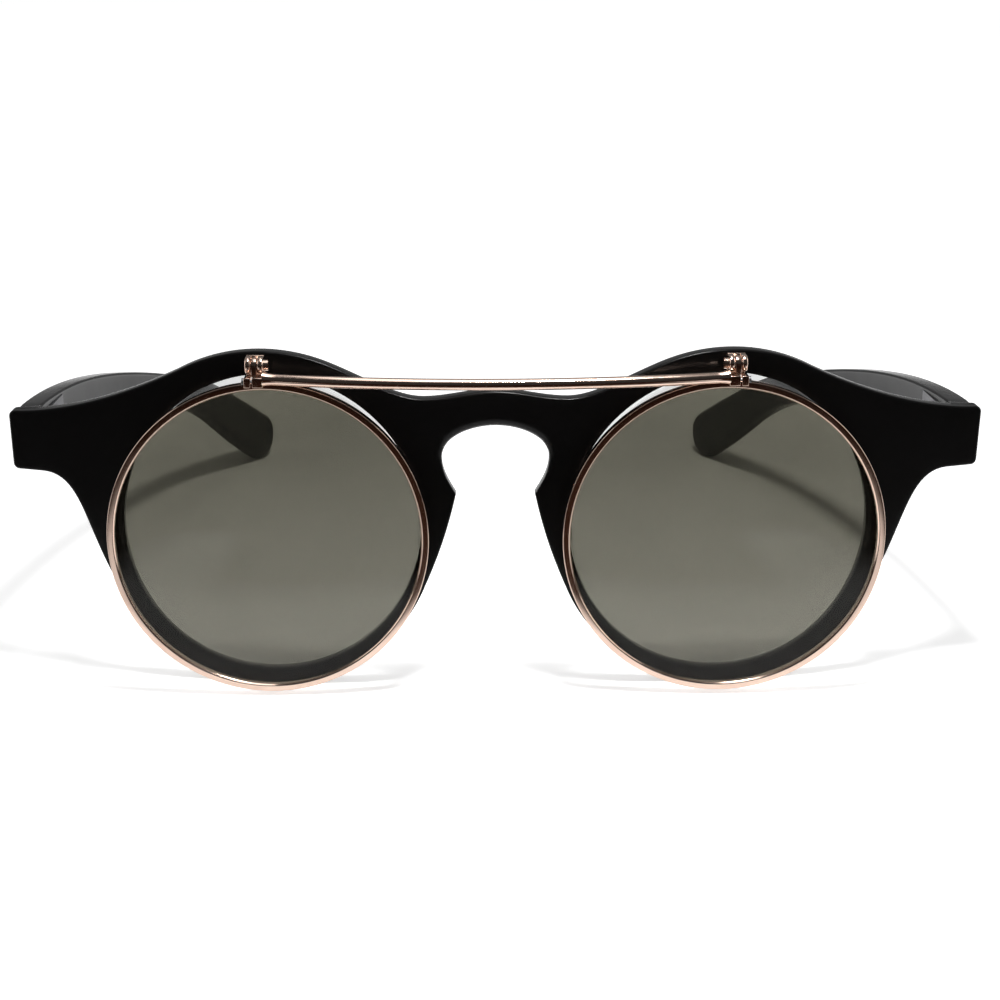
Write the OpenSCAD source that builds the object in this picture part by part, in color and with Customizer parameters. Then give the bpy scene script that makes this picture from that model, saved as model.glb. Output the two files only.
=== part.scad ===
// Round sunglasses with a tinted pair of lenses that flips up in front of a clear pair.
// +X is the wearer's left, the front looks along -Y, and the rims and temple tips stand on z = 0.

/* [Front] */
// Width of the front over both end pieces
front_w = 148.4; // [142:0.2:152]
// Radius of each lens opening in the front
eye_r = 23.3; // [22.6:0.1:24.4]
// Distance between the two lens openings over the nose
bridge_w = 23; // [21:0.2:25]
// Width of the rim round the lower half of each opening
rim_w = 2.6; // [2:0.1:3.2]
// Height of the brow above each opening
brow_h = 3.6; // [3.4:0.1:5.6]
// Thickness of the front, from its outer to its inner face
front_t = 2.6; // [2.4:0.1:4]
// Radius of the curve that the front follows round the face
face_r = 380; // [300:5:600]
// Gap between the middle of the bridge and the plane of the tinted lenses
bridge_gap = 2; // [1.9:0.1:3]
// How far the top of the bridge lies below the brow
bridge_drop = 5.8; // [4.5:0.1:7.5]
// Depth of the dip on either side of the bridge's raised middle
bridge_dip = 1.2; // [0.4:0.1:2]
// Height of the bridge over the keyhole
bridge_h = 5.5; // [4.5:0.1:7.5]
// Greatest width of the keyhole
key_w = 16.1; // [14:0.1:17]
// Width of the keyhole at its neck
neck_w = 11.9; // [10:0.1:13]
// Height of the keyhole from its neck to its top
key_h = 10.4; // [9:0.1:12]
// How far the flanks of the nose bulge towards each other
flank_bulge = 0.8; // [0:0.1:1]

/* [End pieces] */
// Height of the end piece, and of the temple where it starts
end_h = 9.2; // [8:0.1:11]
// How far the top of the end piece lies below the brow
end_drop = 10.2; // [9:0.1:13]
// Radius of the end piece's outer corners
end_corner = 0.9; // [0.4:0.1:1.6]
// How far the end piece's outer edge leans in from top to bottom
end_taper = 0.1; // [0:0.1:1.5]

/* [Lenses] */
// Thickness of the clear lenses
clear_t = 1.8; // [1.4:0.1:2]
// Thickness of the tinted lenses
tint_t = 1.4; // [1:0.1:1.5]
// Radius that the faces of all four lenses are curved to
lens_curve = 130; // [100:5:300]
// Height of the bevel that holds a lens in its groove
bevel = 0.6; // [0.4:0.05:0.7]

/* [Flip-up] */
// How much smaller the radius of the metal rims' openings is than that of the front's
flip_less = 0.3; // [0:0.1:0.8]
// Width of the metal rim, seen from the front
flip_w = 1.15; // [0.95:0.05:1.4]
// Depth of the metal rim, from front to back
flip_d = 2; // [1.8:0.1:2.2]
// How far the metal rims' centres lie below those of the front's openings
flip_drop = 1.1; // [0.3:0.1:1.2]
// How far the metal rims' centres lie nearer the nose than those of the openings
flip_in = 0.6; // [0:0.1:0.9]
// How far the top of the metal rims leans back, in degrees
flip_lean = 1.2; // [0:0.1:3.3]
// Diameter of the bar that joins the two metal rims
bar_d = 1.7; // [1.4:0.1:2]
// How far the middle of the bar stands forward of its ends
bar_bow = 2.1; // [1:0.1:3]
// How far the middle of the bar hangs below its ends
bar_sag = 0.5; // [0:0.1:0.8]

/* [Flip hinge] */
// How far each hinge sits outside the middle of its opening
hinge_off = 0.6; // [-1:0.1:2]
// Width of the hinge over its three knuckles
knuckle_w = 2.7; // [2.4:0.1:3.2]
// Diameter of the knuckles
knuckle_d = 2.5; // [2.2:0.1:2.8]
// Diameter of the hinge screw
pivot_d = 1; // [0.8:0.1:1.2]
// Diameter of the hinge screw's head
pivot_head_d = 1.6; // [1.4:0.1:1.9]
// Thickness of the plate that fixes the hinge to the brow
plate_t = 1.1; // [0.8:0.1:1.2]
// Height of the plate
plate_h = 3.1; // [2.8:0.1:3.2]
// Diameter of the rivets that hold the plate
rivet_d = 0.7; // [0.5:0.1:0.8]
// Height of the closing block on each metal rim
block_h = 1.5; // [1.4:0.1:2]
// Depth of the closing block, from front to back
block_d = 2.8; // [2.4:0.1:3]
// How far the closing block stands above the metal rim
block_rise = 0.8; // [0.6:0.1:1]
// Width of the cut that parts the metal rim and its block
rim_cut = 0.25; // [0.15:0.05:0.4]
// Diameter of the screw that closes the metal rim
lock_d = 0.7; // [0.5:0.1:0.8]

/* [Temples] */
// Thickness of the temples
temple_t = 3.4; // [3:0.1:4.2]
// Radius of the curve that the temples follow round the head, seen from above
temple_r = 400; // [340:10:500]
// How far the temples turn in where they start, in degrees
temple_toe = 0.3; // [0:0.1:1.5]
// Length of the temple up to the ear bend
temple_run = 84; // [75:1:95]
// Downward slope where the temple starts, in degrees
temple_slope = 1.5; // [0:0.1:4]
// Radius of the temple's gentle downward curve, seen from the side
side_r = 331; // [300:1:400]
// Downward slope of the part behind the ear, in degrees
ear_slope = 30; // [26:1:36]
// Radius of the ear bend
ear_r = 92; // [60:1:110]
// Height of the temple at its slimmest
temple_waist = 6.2; // [5.5:0.1:8]
// Height of the rounded tip
tip_h = 10.2; // [8:0.1:11]

/* [Temple hinges] */
// Diameter of the hinge barrels
barrel_d = 3; // [2.6:0.1:3.2]
// Height of the three barrels together
barrel_h = 6.6; // [5.6:0.1:7]
// Diameter of the hinge screw
screw_d = 1.4; // [1.2:0.1:1.6]
// Diameter of the hinge screw's head
screw_head_d = 2.4; // [2:0.1:2.6]
// Thickness of the hinge plates
leaf_t = 0.9; // [0.7:0.1:1]
// Width of the plate on the end piece, and half the length of the one on the temple
leaf_w = 4.6; // [4.2:0.1:5]
// Diameter of the pins that hold the hinge plates
pin_d = 1.2; // [0.8:0.1:1.4]
// Depth that the pins reach into the plastic
pin_depth = 2; // [1.4:0.1:2.2]

/* [Hidden] */

$fn = 96;

// Clearances
run_gap = 0.03; // pin in a hinge bore, on the radius
side_gap = 0.1; // between neighbouring knuckles or barrels
seat_gap = 0.05; // lens bevel in its groove, plate in its recess
joint_gap = 0.3; // temple end to end piece
part_gap = 0.25; // moving knuckle to fixed plate, barrel to temple
slot_w = 0.3; // screwdriver slots
pad_gap = 0.2; // edge left round the hinge pads
cut = 1; // how far cutting shapes run past a face

// Layout seen from the front
eye_x = eye_r + bridge_w/2;
eye_z = eye_r + rim_w;
eye = [eye_x, eye_z];
rim_r = eye_r + rim_w;
brow_r = eye_r + brow_h;
brow_z = eye_z + brow_r;
half_w = front_w/2;
hump_z = brow_z - bridge_drop;
key_z = hump_z - bridge_h;
end_z = brow_z - end_drop;
end_mid_z = end_z - end_h/2;

// Layout from front to back, with the tinted lenses' plane at y = 0
function front_y(x) = bridge_gap + face_r - sqrt(face_r*face_r - x*x);
end_extra = 0.1; // what the end piece has over the curved slab's thickness
back_y = front_y(half_w) + front_t + end_extra;
lens_turn = asin(eye_x/face_r);
lens_y = (front_y(eye_x - eye_r) + front_y(eye_x + eye_r) + 2*front_y(eye_x))/4 + front_t/2;

// Flip-up
flip_r = eye_r - flip_less;
hinge_x = eye_x + hinge_off;
flip_x = eye_x - flip_in;
flip_z = eye_z - flip_drop;
flip_out = flip_r + flip_w;
flip_top = flip_z + flip_out*cos(flip_lean);
plate_in = hinge_x - knuckle_w/2;
plate_out = hinge_x + knuckle_w/2;
plate_drop = 0.4; // from the top of the brow down to the plate
plate_top = brow_z - plate_drop;
plate_low = plate_top - plate_h;
seat_y = front_y(plate_out) + seat_gap;
plate_y = seat_y - plate_t;
pivot_y = plate_y - part_gap/2 - knuckle_d/2;
block_top = flip_top + block_rise;
block_low = block_top - block_h;
pivot_z = block_top + part_gap + knuckle_d/2;
block_lead = 2.1; // how far the closing block reaches in front of the pivot
block_y0 = pivot_y - block_lead;
block_y1 = block_y0 + block_d;
block_in = plate_in;
block_out = plate_out + side_gap;
lock_head_t = 0.35; // thickness of the closing screw's head
lock_head_d = lock_d + 0.5;
cut_x = hinge_x + rim_cut + side_gap;
bar_y = block_y0 + block_d/3;
bar_z = block_top - bar_d/5;
bar_tilt = atan(bar_sag/bar_bow);
bar_arc = (block_in*block_in + bar_bow*bar_bow)/(2*bar_bow);
knuckle_t = (knuckle_w - 2*side_gap)/3;

// Temples, on the +X side
temple_set = 0.9; // how far the temples start inside the front's ends
temple_x = half_w - temple_set;
temple_y = back_y + joint_gap;
bow_c = [temple_x - temple_r*cos(temple_toe), temple_y - temple_r*sin(temple_toe)];
temple_in = temple_x - temple_t;
boss_x = temple_in - pad_gap;
axis_x = temple_in - part_gap - barrel_d/2;
axis_y = back_y + leaf_t + part_gap + barrel_d/2;
barrel_t = (barrel_h - 2*side_gap)/3;
barrel_z = end_mid_z - barrel_h/2;

// The temple's middle line, seen from the side: a gentle arc, the ear bend, and a straight end
function down(a) = [cos(a), -sin(a)];
function below(a) = [-sin(a), -cos(a)];
side_slope = temple_slope + temple_run*180/PI/side_r;
bend_run = ear_r*(ear_slope - side_slope)*PI/180;
side_c = [temple_y, end_mid_z] + side_r*below(temple_slope);
bend_0 = side_c - side_r*below(side_slope);
bend_c = bend_0 + ear_r*below(side_slope);
bend_1 = bend_c - ear_r*below(ear_slope);
tip_r = tip_h/2;
tip_run = (bend_1[1] - tip_r)/sin(ear_slope);
tip_c = bend_1 + tip_run*down(ear_slope);
run_total = temple_run + bend_run + tip_run;

// The whole part is centred on the origin from front to back
front_most = bar_y - bar_bow - bar_d/2;
mid_y = (front_most + tip_c[0] + tip_r)/2;

// Points on an arc, a cubic curve and a straight line
function arc(c, r, a0, a1, n) = [for (i = [0:n]) let (a = a0 + (a1 - a0)*i/n) c + r*[cos(a), sin(a)]];
function cubic(a, b, c, d, n) =
  [for (i = [0:n]) let (t = i/n, s = 1 - t) s*s*s*a + 3*s*s*t*b + 3*s*t*t*c + t*t*t*d];
function mirrored(p) = [for (i = [len(p) - 1:-1:0]) [-p[i][0], p[i][1]]];
function flat(lists) = [for (l = lists) for (p = l) p];
function blend(a, b, t) = a + (b - a)*(3*t*t - 2*t*t*t);

// Top edge of the front: raised bridge, dip, brow, and shoulder down to the end piece
dip = [eye_x*0.31, hump_z - bridge_dip];
brow_a0 = 112;
brow_a1 = 62;
shoulder_power = 1.75;
brow_start = eye + brow_r*[cos(brow_a0), sin(brow_a0)];
brow_end = eye + brow_r*[cos(brow_a1), sin(brow_a1)];
end_top = [half_w - end_corner, end_z];
hump = [for (i = [0:8]) [dip[0]*i/8, blend(hump_z, dip[1], i/8)]];
rise = cubic(dip, dip + [dip[0]*0.37, 0], brow_start - brow_r*0.2*[sin(brow_a0), -cos(brow_a0)], brow_start, 10);
brow = arc(eye, brow_r, brow_a0, brow_a1, 12);
function shoulder(t) =
  [brow_end[0] + (end_top[0] - brow_end[0])*t, end_z + (brow_end[1] - end_z)*pow(1 - t, shoulder_power)];
shoulders = [for (i = [0:12]) shoulder(i/12)];

// End piece, and the curve from its lower edge into the rim
end_low = end_z - end_h;
end_edge = flat([
  arc([half_w - end_corner, end_z - end_corner], end_corner, 90, 0, 6),
  arc([half_w - end_taper - end_corner, end_low + end_corner], end_corner, 0, -90, 6)
]);
join_a = -35;
join = eye + rim_r*[cos(join_a), sin(join_a)];
heel = [half_w - end_h*0.52, end_low - end_h*0.016];
under = cubic(heel, heel - end_h*[0.76, 0.043], join + rim_r*0.52*[-sin(join_a), cos(join_a)], join, 14);

// Nose side: the rim, a straight flank up to the neck, and the keyhole
neck = [neck_w/2, key_z - key_h];
to_neck = neck - eye;
flank_a = atan2(to_neck[1], to_neck[0]) + acos(rim_r/norm(to_neck)) + 4;
lower_rim = arc(eye, rim_r, join_a, flank_a - 360, 48);
flank_0 = eye + rim_r*[cos(flank_a), sin(flank_a)];
flank_mid = (flank_0 + neck)/2 - [flank_bulge, 0];
flank = cubic(flank_0, flank_0 + (flank_mid - flank_0)*0.7, flank_mid + (neck - flank_mid)*0.3, neck, 8);
wide = [key_w/2, key_z - key_h*0.46];
keyhole = flat([
  cubic(neck, neck + key_h*[0.087, 0.154], wide - [0, key_h*0.23], wide, 8),
  cubic(wide, wide + [0, key_h*0.27], [key_w/4, key_z], [0, key_z], 10)
]);
half_front = flat([hump, rise, brow, shoulders, end_edge, under, lower_rim, flank, keyhole]);

function no_twins(p) = [for (i = [0:len(p) - 1]) if (i == 0 || norm(p[i] - p[i - 1]) > 0.01) p[i]];
right_half = no_twins(half_front);
front_outline = no_twins(flat([mirrored(right_half), right_half]));

plastic = [0.06, 0.06, 0.065];
gold = [0.86, 0.66, 0.55];
steel = [0.72, 0.7, 0.68];

module centred() {
  translate([0, -mid_y, 0]) children();
}

// Both sides are drawn for +X, and side -1 mirrors them
module on_side(side) {
  centred() mirror([side < 0 ? 1 : 0, 0, 0]) children();
}

module along_x(x0, x1, y, z, d) {
  translate([x0, y, z]) rotate([0, 90, 0]) cylinder(h = x1 - x0, d = d);
}

module along_y(y0, y1, x, z, d) {
  translate([x, y0, z]) rotate([-90, 0, 0]) cylinder(h = y1 - y0, d = d);
}

module block(x, y, z) {
  translate([x[0], y[0], z[0]]) cube([x[1] - x[0], y[1] - y[0], z[1] - z[0]]);
}

// Drawn on the XZ plane and given its depth along Y
module raised(y0, y1) {
  translate([0, y1, 0]) rotate([90, 0, 0]) linear_extrude(height = y1 - y0) children();
}

module face_cylinder(r) {
  translate([0, bridge_gap + face_r, -cut]) cylinder(h = brow_z + 2*cut, r = r, $fn = 360);
}

// Places children at the middle of a lens opening, with the lens axis along Z, outwards
module at_eye() {
  translate([eye_x, lens_y, eye_z]) rotate([0, 0, lens_turn]) rotate([90, 0, 0]) children();
}

module at_flip() {
  translate([flip_x, 0, flip_z]) rotate([90 - flip_lean, 0, 0]) children();
}

// The V-shaped edge of a lens
module bevel_ring(r) {
  half = bevel - seat_gap/2;
  rotate_extrude($fn = 180) polygon([[r - cut, -half], [r, -half], [r + half, 0], [r, half], [r - cut, half]]);
}

// The groove that takes it, whose flanks run on into the opening
module bevel_groove(r) {
  rotate_extrude($fn = 180) polygon([[r - cut, -bevel - cut], [r + bevel, 0], [r - cut, bevel + cut]]);
}

module lens(r, t) {
  sink = sqrt(lens_curve*lens_curve - r*r);
  intersection() {
    difference() {
      translate([0, 0, -sink]) sphere(r = lens_curve + t/2, $fn = 180);
      translate([0, 0, -sink]) sphere(r = lens_curve - t/2, $fn = 180);
    }
    translate([0, 0, -t - cut]) cylinder(h = lens_curve - sink + 2*t + 2*cut, r = r - seat_gap, $fn = 180);
  }
  bevel_ring(r - seat_gap);
}

module front_slab() {
  intersection() {
    raised(-cut, back_y + cut) polygon(front_outline);
    difference() {
      face_cylinder(face_r);
      face_cylinder(face_r - front_t);
    }
  }
}

// Behind the curved front: a flat boss for the temple to meet, and a pad for the hinge plate
module end_block() {
  pad_x = axis_x - leaf_w - pad_gap;
  intersection() {
    raised(0, back_y) intersection() {
      polygon(front_outline);
      union() {
        translate([boss_x, end_low - cut]) square([half_w, end_h + 2*cut]);
        translate([pad_x, barrel_z - pad_gap]) square([half_w - pad_x - end_taper - cut, barrel_h + 2*pad_gap]);
      }
    }
    face_cylinder(face_r);
  }
}

module half_front_cuts() {
  translate([eye_x, 0, eye_z]) rotate([-90, 0, 0]) cylinder(h = back_y + cut, r = eye_r, $fn = 180);
  at_eye() bevel_groove(eye_r);
  plate_seat();
  for (z = rivet_z) {
    along_y(0, back_y, hinge_x, z, rivet_d + 2*run_gap);
    along_y(rivet_back, back_y + cut, hinge_x, z, rivet_head_d + 2*seat_gap);
  }
  for (z = leaf_pin_z) {
    along_y(back_y - pin_depth, back_y + cut, front_pin_x, z, pin_d + 2*run_gap);
  }
}

module front_frame() {
  color(plastic) centred() difference() {
    union() {
      front_slab();
      end_block();
      mirror([1, 0, 0]) end_block();
    }
    half_front_cuts();
    mirror([1, 0, 0]) half_front_cuts();
  }
}

module clear_lens(side) {
  color([0.9, 0.94, 0.94, 0.35]) on_side(side) at_eye() lens(eye_r, clear_t);
}

// Flip hinge: a plate on the brow with two knuckles, the middle knuckle on the metal rim, and a screw
rivet_z = [plate_low + 1, plate_top - 0.6];
rivet_head_d = rivet_d + 0.6;
rivet_head_t = 0.4;
rivet_back = front_y(plate_in) + front_t - rivet_head_t;

module plate_seat() {
  block([plate_in - seat_gap, plate_out + seat_gap], [0, seat_y], [plate_low - seat_gap, plate_top + seat_gap]);
}

module outer_knuckle(x0) {
  along_x(x0, x0 + knuckle_t, pivot_y, pivot_z, knuckle_d);
  block([x0, x0 + knuckle_t], [pivot_y, plate_y], [pivot_z - knuckle_d*0.3, pivot_z + knuckle_d*0.45]);
}

module brow_hinge_plate(side) {
  color(gold) on_side(side) difference() {
    union() {
      block([plate_in, plate_out], [plate_y, seat_y], [plate_low, plate_top]);
      outer_knuckle(plate_in);
      outer_knuckle(plate_out - knuckle_t);
    }
    along_x(plate_in - cut, plate_out + cut, pivot_y, pivot_z, pivot_d + 2*run_gap);
    for (z = rivet_z) {
      along_y(0, back_y, hinge_x, z, rivet_d + 2*run_gap);
    }
  }
}

module brow_hinge_rivets() {
  color(steel) for (side = [-1, 1], z = rivet_z) {
    on_side(side) {
      along_y(plate_y, rivet_back, hinge_x, z, rivet_d);
      along_y(rivet_back, rivet_back + rivet_head_t, hinge_x, z, rivet_head_d);
    }
  }
}

module flip_hinge_screw(side) {
  head_t = 0.7;
  head_x = plate_in - head_t;
  color(gold) on_side(side) difference() {
    union() {
      along_x(head_x, plate_in, pivot_y, pivot_z, pivot_head_d);
      along_x(plate_in, plate_out, pivot_y, pivot_z, pivot_d);
    }
    block([head_x - cut, head_x + head_t/2], [pivot_y - slot_w/2, pivot_y + slot_w/2],
      [pivot_z - pivot_head_d, pivot_z + pivot_head_d]);
  }
}

module rim_body() {
  at_flip() translate([0, 0, -flip_d/2]) cylinder(h = flip_d, r = flip_out, $fn = 180);
}

module flip_rim(side) {
  color(gold) on_side(side) difference() {
    union() {
      rim_body();
      block([block_in, block_out], [block_y0, block_y1], [block_low, block_top]);
    }
    at_flip() translate([0, 0, -3*flip_d]) cylinder(h = 6*flip_d, r = flip_r, $fn = 180);
    at_flip() bevel_groove(flip_r);
    block([cut_x - rim_cut/2, cut_x + rim_cut/2], [block_y0 - cut, block_y1 + cut], [flip_top - 2*flip_w, brow_z]);
    along_x(lock_x0, block_out + cut, lock_y, lock_z, lock_d + 2*run_gap);
    along_x(block_out, block_out + lock_head_t + seat_gap, lock_y, lock_z, lock_head_d + 2*seat_gap);
  }
}

module tinted_lens(side) {
  color([0.3, 0.31, 0.26, 0.8]) on_side(side) at_flip() lens(flip_r, tint_t);
}

// The middle knuckle, with the foot that is soldered on the closing block
module flip_hinge_leaf(side) {
  x0 = hinge_x - knuckle_t/2;
  color(gold) on_side(side) difference() {
    union() {
      along_x(x0, x0 + knuckle_t, pivot_y, pivot_z, knuckle_d);
      block([x0, x0 + knuckle_t], [pivot_y - knuckle_d/2, pivot_y + knuckle_d*0.3], [block_top, pivot_z]);
    }
    along_x(x0 - cut, x0 + knuckle_t + cut, pivot_y, pivot_z, pivot_d + 2*run_gap);
  }
}

// Closing screws, through both halves of each block
lock_x0 = block_in + 0.4;
lock_y = block_y0 + 0.8;
lock_z = block_top - block_h/2;

module rim_closing_screws() {
  color(steel) for (side = [-1, 1]) {
    on_side(side) difference() {
      union() {
        along_x(lock_x0, block_out, lock_y, lock_z, lock_d);
        along_x(block_out, block_out + lock_head_t, lock_y, lock_z, lock_head_d);
      }
      block([block_out + lock_head_t/2, block_out + cut], [lock_y - slot_w/3, lock_y + slot_w/3],
        [lock_z - lock_d, lock_z + lock_d]);
    }
  }
}

// One rod, bowed forward, cut square at the closing blocks and hollowed where it lies on the metal rims
module flip_bar() {
  sweep = asin(block_in/bar_arc) + 1;
  color(gold) centred() difference() {
    intersection() {
      translate([0, bar_y, bar_z]) rotate([bar_tilt, 0, 0]) translate([0, bar_arc - bar_bow, 0])
        rotate([0, 0, -90 - sweep]) rotate_extrude(angle = 2*sweep) translate([bar_arc, 0])
          circle(d = bar_d, $fn = 48);
      block([-block_in, block_in], [front_most - cut, block_y1 + cut], [bar_z - bar_d - bar_sag, bar_z + bar_d]);
    }
    rim_body();
    mirror([1, 0, 0]) rim_body();
  }
}

// Temple hinge: two barrels on the end piece, one on the temple
front_pin_x = axis_x - leaf_w*0.67;
leaf_pin_z = [end_mid_z - barrel_h*0.3, end_mid_z + barrel_h*0.3];

module barrel(z0) {
  translate([axis_x, axis_y, z0]) cylinder(h = barrel_t, d = barrel_d, $fn = 64);
}

module barrel_bore() {
  translate([axis_x, axis_y, 0]) cylinder(h = brow_z, d = screw_d + 2*run_gap, $fn = 48);
}

module front_hinge_leaf(side) {
  color(steel) on_side(side) difference() {
    union() {
      block([axis_x - leaf_w, axis_x + barrel_d*0.4], [back_y, back_y + leaf_t], [barrel_z, barrel_z + barrel_h]);
      for (z0 = [barrel_z, barrel_z + barrel_h - barrel_t]) {
        barrel(z0);
        block([axis_x - barrel_d/2, axis_x + barrel_d*0.2], [back_y, axis_y], [z0, z0 + barrel_t]);
      }
    }
    barrel_bore();
    for (z = leaf_pin_z) {
      along_y(back_y - cut, back_y + 2*cut, front_pin_x, z, pin_d + 2*run_gap);
    }
  }
}

module front_hinge_pins() {
  color(steel) for (side = [-1, 1], z = leaf_pin_z) {
    on_side(side) along_y(back_y - pin_depth, back_y + leaf_t, front_pin_x, z, pin_d);
  }
}

module temple_hinge_screw(side) {
  head_t = 0.6;
  top = barrel_z + barrel_h;
  color(steel) on_side(side) difference() {
    union() {
      translate([axis_x, axis_y, barrel_z]) cylinder(h = barrel_h, d = screw_d, $fn = 48);
      translate([axis_x, axis_y, top]) cylinder(h = head_t, d = screw_head_d, $fn = 48);
    }
    block([axis_x - screw_head_d, axis_x + screw_head_d], [axis_y - slot_w/2, axis_y + slot_w/2],
      [top + head_t/2, top + cut]);
  }
}

// The plate on the temple starts behind the fixed barrels and is let into the plastic
leaf_y0 = axis_y + barrel_d/2 + part_gap;
leaf_y1 = leaf_y0 + 2*leaf_w;
leaf_x = temple_in - leaf_t/2;
temple_pin_y = [leaf_y0 + leaf_w*0.45, leaf_y1 - leaf_w*0.35];

module temple_hinge_leaf(side) {
  color(steel) on_side(side) difference() {
    union() {
      block([leaf_x, leaf_x + leaf_t], [leaf_y0, leaf_y1], [barrel_z, barrel_z + barrel_h]);
      barrel(end_mid_z - barrel_t/2);
      block([axis_x, leaf_x + leaf_t], [axis_y + barrel_d*0.2, leaf_y0 + cut/2],
        [end_mid_z - barrel_t/2, end_mid_z + barrel_t/2]);
    }
    barrel_bore();
    for (y = temple_pin_y) {
      along_x(leaf_x - cut, leaf_x + 2*cut, y, end_mid_z, pin_d + 2*run_gap);
    }
  }
}

module temple_hinge_pins(side) {
  color(steel) for (y = temple_pin_y) {
    on_side(side) along_x(leaf_x, leaf_x + leaf_t + pin_depth, y, end_mid_z, pin_d);
  }
}

// Height of the temple along its length, from the end piece over the waist to the tip
waist_t = 0.62;
function temple_h(t) =
  t < waist_t ? blend(end_h, temple_waist, t/waist_t)
  : blend(temple_waist, tip_h, (t - waist_t)/(1 - waist_t));

// Slope and point of the middle line at the distance s from the end piece
function mid_slope(s) =
  s < temple_run ? temple_slope + s*180/PI/side_r
  : s < temple_run + bend_run ? side_slope + (s - temple_run)*180/PI/ear_r
  : ear_slope;
function mid_point(s) =
  s < temple_run ? side_c - side_r*below(mid_slope(s))
  : s < temple_run + bend_run ? bend_c - ear_r*below(mid_slope(s))
  : bend_1 + (s - temple_run - bend_run)*down(ear_slope);
function temple_edge(t, up) = mid_point(t*run_total) - up*temple_h(t)/2*below(mid_slope(t*run_total));

edge_steps = 40;
edge_t = [for (i = [0:edge_steps]) i/edge_steps];
temple_top = [for (t = edge_t) if (t > 0.01) temple_edge(t, 1)];
temple_under = [for (i = [edge_steps:-1:1]) temple_edge(edge_t[i], -1)];
tip_arc = arc(tip_c, tip_r, 90 - ear_slope, -90 - ear_slope, 24);
start_low = [temple_y, end_low + 0.1];
start_top = [temple_y, end_z - 0.1];
temple_outline = no_twins(flat([[start_low, start_top], temple_top, tip_arc, temple_under]));

module temple_side_view() {
  rotate([90, 0, 90]) linear_extrude(height = half_w + cut) polygon(temple_outline);
}

module temple_band() {
  difference() {
    translate([bow_c[0], bow_c[1], -cut]) cylinder(h = brow_z, r = temple_r, $fn = 360);
    translate([bow_c[0], bow_c[1], -2*cut]) cylinder(h = brow_z + 2*cut, r = temple_r - temple_t, $fn = 360);
  }
}

module temple(side) {
  color(plastic) on_side(side) difference() {
    intersection() {
      temple_side_view();
      temple_band();
    }
    block([leaf_x - cut, leaf_x + leaf_t], [temple_y - cut, leaf_y1 + seat_gap],
      [barrel_z - seat_gap, barrel_z + barrel_h + seat_gap]);
    for (y = temple_pin_y) {
      along_x(leaf_x, leaf_x + leaf_t + pin_depth, y, end_mid_z, pin_d + 2*run_gap);
    }
  }
}

front_frame();
clear_lens(1);  // clear_lens_left
clear_lens(-1);  // clear_lens_right
brow_hinge_plate(1);  // brow_hinge_plate_left
brow_hinge_plate(-1);  // brow_hinge_plate_right
brow_hinge_rivets();
flip_hinge_screw(1);  // flip_hinge_screw_left
flip_hinge_screw(-1);  // flip_hinge_screw_right
flip_rim(1);  // flip_rim_left
flip_rim(-1);  // flip_rim_right
flip_hinge_leaf(1);  // flip_hinge_leaf_left
flip_hinge_leaf(-1);  // flip_hinge_leaf_right
rim_closing_screws();
tinted_lens(1);  // tinted_lens_left
tinted_lens(-1);  // tinted_lens_right
flip_bar();
front_hinge_leaf(1);  // front_hinge_leaf_left
front_hinge_leaf(-1);  // front_hinge_leaf_right
front_hinge_pins();
temple_hinge_screw(1);  // temple_hinge_screw_left
temple_hinge_screw(-1);  // temple_hinge_screw_right
temple(1);  // temple_left
temple(-1);  // temple_right
temple_hinge_leaf(1);  // temple_hinge_leaf_left
temple_hinge_leaf(-1);  // temple_hinge_leaf_right
temple_hinge_pins(1);  // temple_hinge_pins_left
temple_hinge_pins(-1);  // temple_hinge_pins_right
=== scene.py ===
import math
import bmesh
import bpy
from mathutils import Matrix, Vector, kdtree
from mathutils.geometry import delaunay_2d_cdt


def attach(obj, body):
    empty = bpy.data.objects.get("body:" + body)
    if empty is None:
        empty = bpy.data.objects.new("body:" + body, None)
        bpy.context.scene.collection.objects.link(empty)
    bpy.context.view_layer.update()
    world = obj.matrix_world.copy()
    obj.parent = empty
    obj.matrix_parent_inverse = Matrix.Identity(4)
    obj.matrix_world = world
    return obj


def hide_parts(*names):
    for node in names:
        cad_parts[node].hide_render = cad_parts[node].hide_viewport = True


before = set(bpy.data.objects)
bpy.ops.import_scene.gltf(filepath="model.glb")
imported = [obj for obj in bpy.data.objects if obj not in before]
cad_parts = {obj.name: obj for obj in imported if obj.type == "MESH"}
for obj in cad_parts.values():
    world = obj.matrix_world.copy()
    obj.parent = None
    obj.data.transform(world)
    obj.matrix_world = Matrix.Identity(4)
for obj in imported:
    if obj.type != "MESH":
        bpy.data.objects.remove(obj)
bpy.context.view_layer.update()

MM = 0.001

# Sizes in millimetres, as in the CAD part. First the front
FRONT_W = 148.4      # over both end pieces
EYE_R = 23.3         # radius of each lens opening
BRIDGE_W = 23.0      # between the two openings, over the nose
RIM_W = 2.6          # rim round the lower half of each opening
BROW_H = 3.6         # brow above each opening
FRONT_T = 2.6        # thickness
FACE_R = 380.0       # radius of the curve that the front follows round the face
BRIDGE_GAP = 2.0     # middle of the bridge to the tinted lenses' plane
BRIDGE_DROP = 5.8    # top of the bridge below the brow
BRIDGE_DIP = 1.2     # dip on either side of the bridge's raised middle
BRIDGE_H = 5.5       # bridge over the keyhole
KEY_W = 16.1         # keyhole at its widest
NECK_W = 11.9        # keyhole at its neck
KEY_H = 10.4         # keyhole from neck to top
FLANK_BULGE = 0.8    # how far the flanks of the nose bulge towards each other
END_H = 9.2          # end piece, and temple where it starts
END_DROP = 10.2      # top of the end piece below the brow
END_CORNER = 0.9     # radius of the end piece's outer corners
END_TAPER = 0.1      # lean of the end piece's outer edge
END_EXTRA = 0.1      # what the end piece has over the curved plate's thickness

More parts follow.
